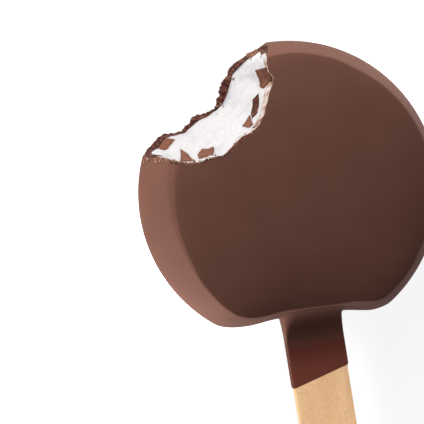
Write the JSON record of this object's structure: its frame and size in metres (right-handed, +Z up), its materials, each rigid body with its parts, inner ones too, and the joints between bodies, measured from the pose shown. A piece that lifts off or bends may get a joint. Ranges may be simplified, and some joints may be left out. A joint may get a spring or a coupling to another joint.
{
  "type": "ice cream bar",
  "caption": "Round chocolate-coated ice cream bar on a flat wooden stick, bitten at its upper left, lying on its back.",
  "frame": {"origin": "centre of the round on the flat back face that the bar lies on", "axes": "+Y from the stick to the top of the bar, +Z up out of the front face, +X across the bar to the right"},
  "size_m": [0.0784, 0.1225, 0.0218],
  "materials": {
    "chocolate": "satin milk chocolate",
    "ice_cream": "frozen, faintly crystalline",
    "wood": "bare birch or beech"
  },
  "bodies": {
    "root": {"chocolate_coating": "chocolate", "ice_cream_core": "ice_cream", "wooden_stick": "wood"}
  },
  "joints": []
}
